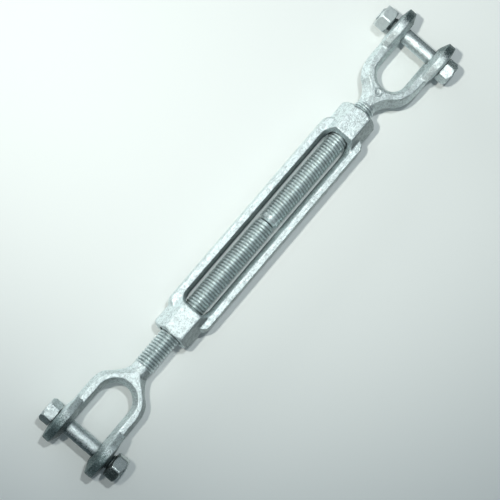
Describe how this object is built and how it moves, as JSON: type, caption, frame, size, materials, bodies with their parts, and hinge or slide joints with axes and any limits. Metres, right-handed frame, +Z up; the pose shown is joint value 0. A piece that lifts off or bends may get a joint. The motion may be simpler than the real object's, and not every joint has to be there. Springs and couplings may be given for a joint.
{
  "type": "jaw and jaw turnbuckle",
  "caption": "Open-body rigging turnbuckle: a long forged frame with hexagonal ends draws in two screwed jaws, each closed by a bolt and nut.",
  "frame": {"origin": "middle of the bounding box, which is on the screw axis, level with the middle of the forging's thickness", "axes": "+X along the screw axis from the left jaw to the right jaw, +Y along the jaw bolts towards the left bolt's head, +Z up, square to the rails' flat side"},
  "size_m": [0.3908, 0.0708, 0.033],
  "materials": {
    "galvanised_body": "hot-dip galvanised forging, satin and mottled",
    "galvanised_jaw": "hot-dip galvanised forging, satin and mottled",
    "jaw_bolt": "galvanised, smoother and brighter than the forgings",
    "jaw_nut": "galvanised, smoother than the forgings"
  },
  "bodies": {
    "left_jaw": {"left_fork": "galvanised_jaw"},
    "left_screw": {"left_shank": "galvanised_jaw"},
    "frame_body": {"turnbuckle_body": "galvanised_body"},
    "right_screw": {"right_shank": "galvanised_jaw"},
    "right_jaw": {"right_fork": "galvanised_jaw"},
    "left_jaw_bolt": {"left_bolt": "jaw_bolt"},
    "left_jaw_nut": {"left_nut": "jaw_nut"},
    "right_jaw_bolt": {"right_bolt": "jaw_bolt"},
    "right_jaw_nut": {"right_nut": "jaw_nut"}
  },
  "joints": [
    {"name": "body_turn", "type": "hinge", "parent": "left_jaw", "child": "left_screw", "pos_m": [0, 0, 0], "axis": [1, 0, 0], "range_deg": [0, 11880]},
    {"name": "body_travel", "type": "slide", "parent": "left_screw", "child": "frame_body", "axis": [1, 0, 0], "range_m": [0, 0.0762]},
    {"name": "right_screw_travel", "type": "slide", "parent": "frame_body", "child": "right_screw", "axis": [1, 0, 0], "range_m": [0, 0.0762]},
    {"name": "right_jaw_turn_back", "type": "hinge", "parent": "right_screw", "child": "right_jaw", "pos_m": [0, 0, 0], "axis": [1, 0, 0], "range_deg": [-11880, 0]},
    {"name": "left_bolt_slide", "type": "slide", "parent": "left_jaw", "child": "left_jaw_bolt", "axis": [0, 1, 0], "range_m": [0, 0.062]},
    {"name": "left_nut_slide", "type": "slide", "parent": "left_jaw_bolt", "child": "left_jaw_nut", "axis": [0, -1, 0], "range_m": [0, 0.0775]},
    {"name": "right_bolt_slide", "type": "slide", "parent": "right_jaw", "child": "right_jaw_bolt", "axis": [0, -1, 0], "range_m": [0, 0.062]},
    {"name": "right_nut_slide", "type": "slide", "parent": "right_jaw_bolt", "child": "right_jaw_nut", "axis": [0, 1, 0], "range_m": [0, 0.0775]}
  ],
  "couplings": [
    {"joint": "body_travel", "follows": "body_turn", "m_per_rad": 0.0003675},
    {"joint": "right_screw_travel", "follows": "body_turn", "m_per_rad": 0.0003675},
    {"joint": "right_jaw_turn_back", "follows": "body_turn", "ratio": -1},
    {"joint": "left_nut_slide", "follows": "left_bolt_slide", "ratio": 1.25},
    {"joint": "right_nut_slide", "follows": "right_bolt_slide", "ratio": 1.25}
  ]
}
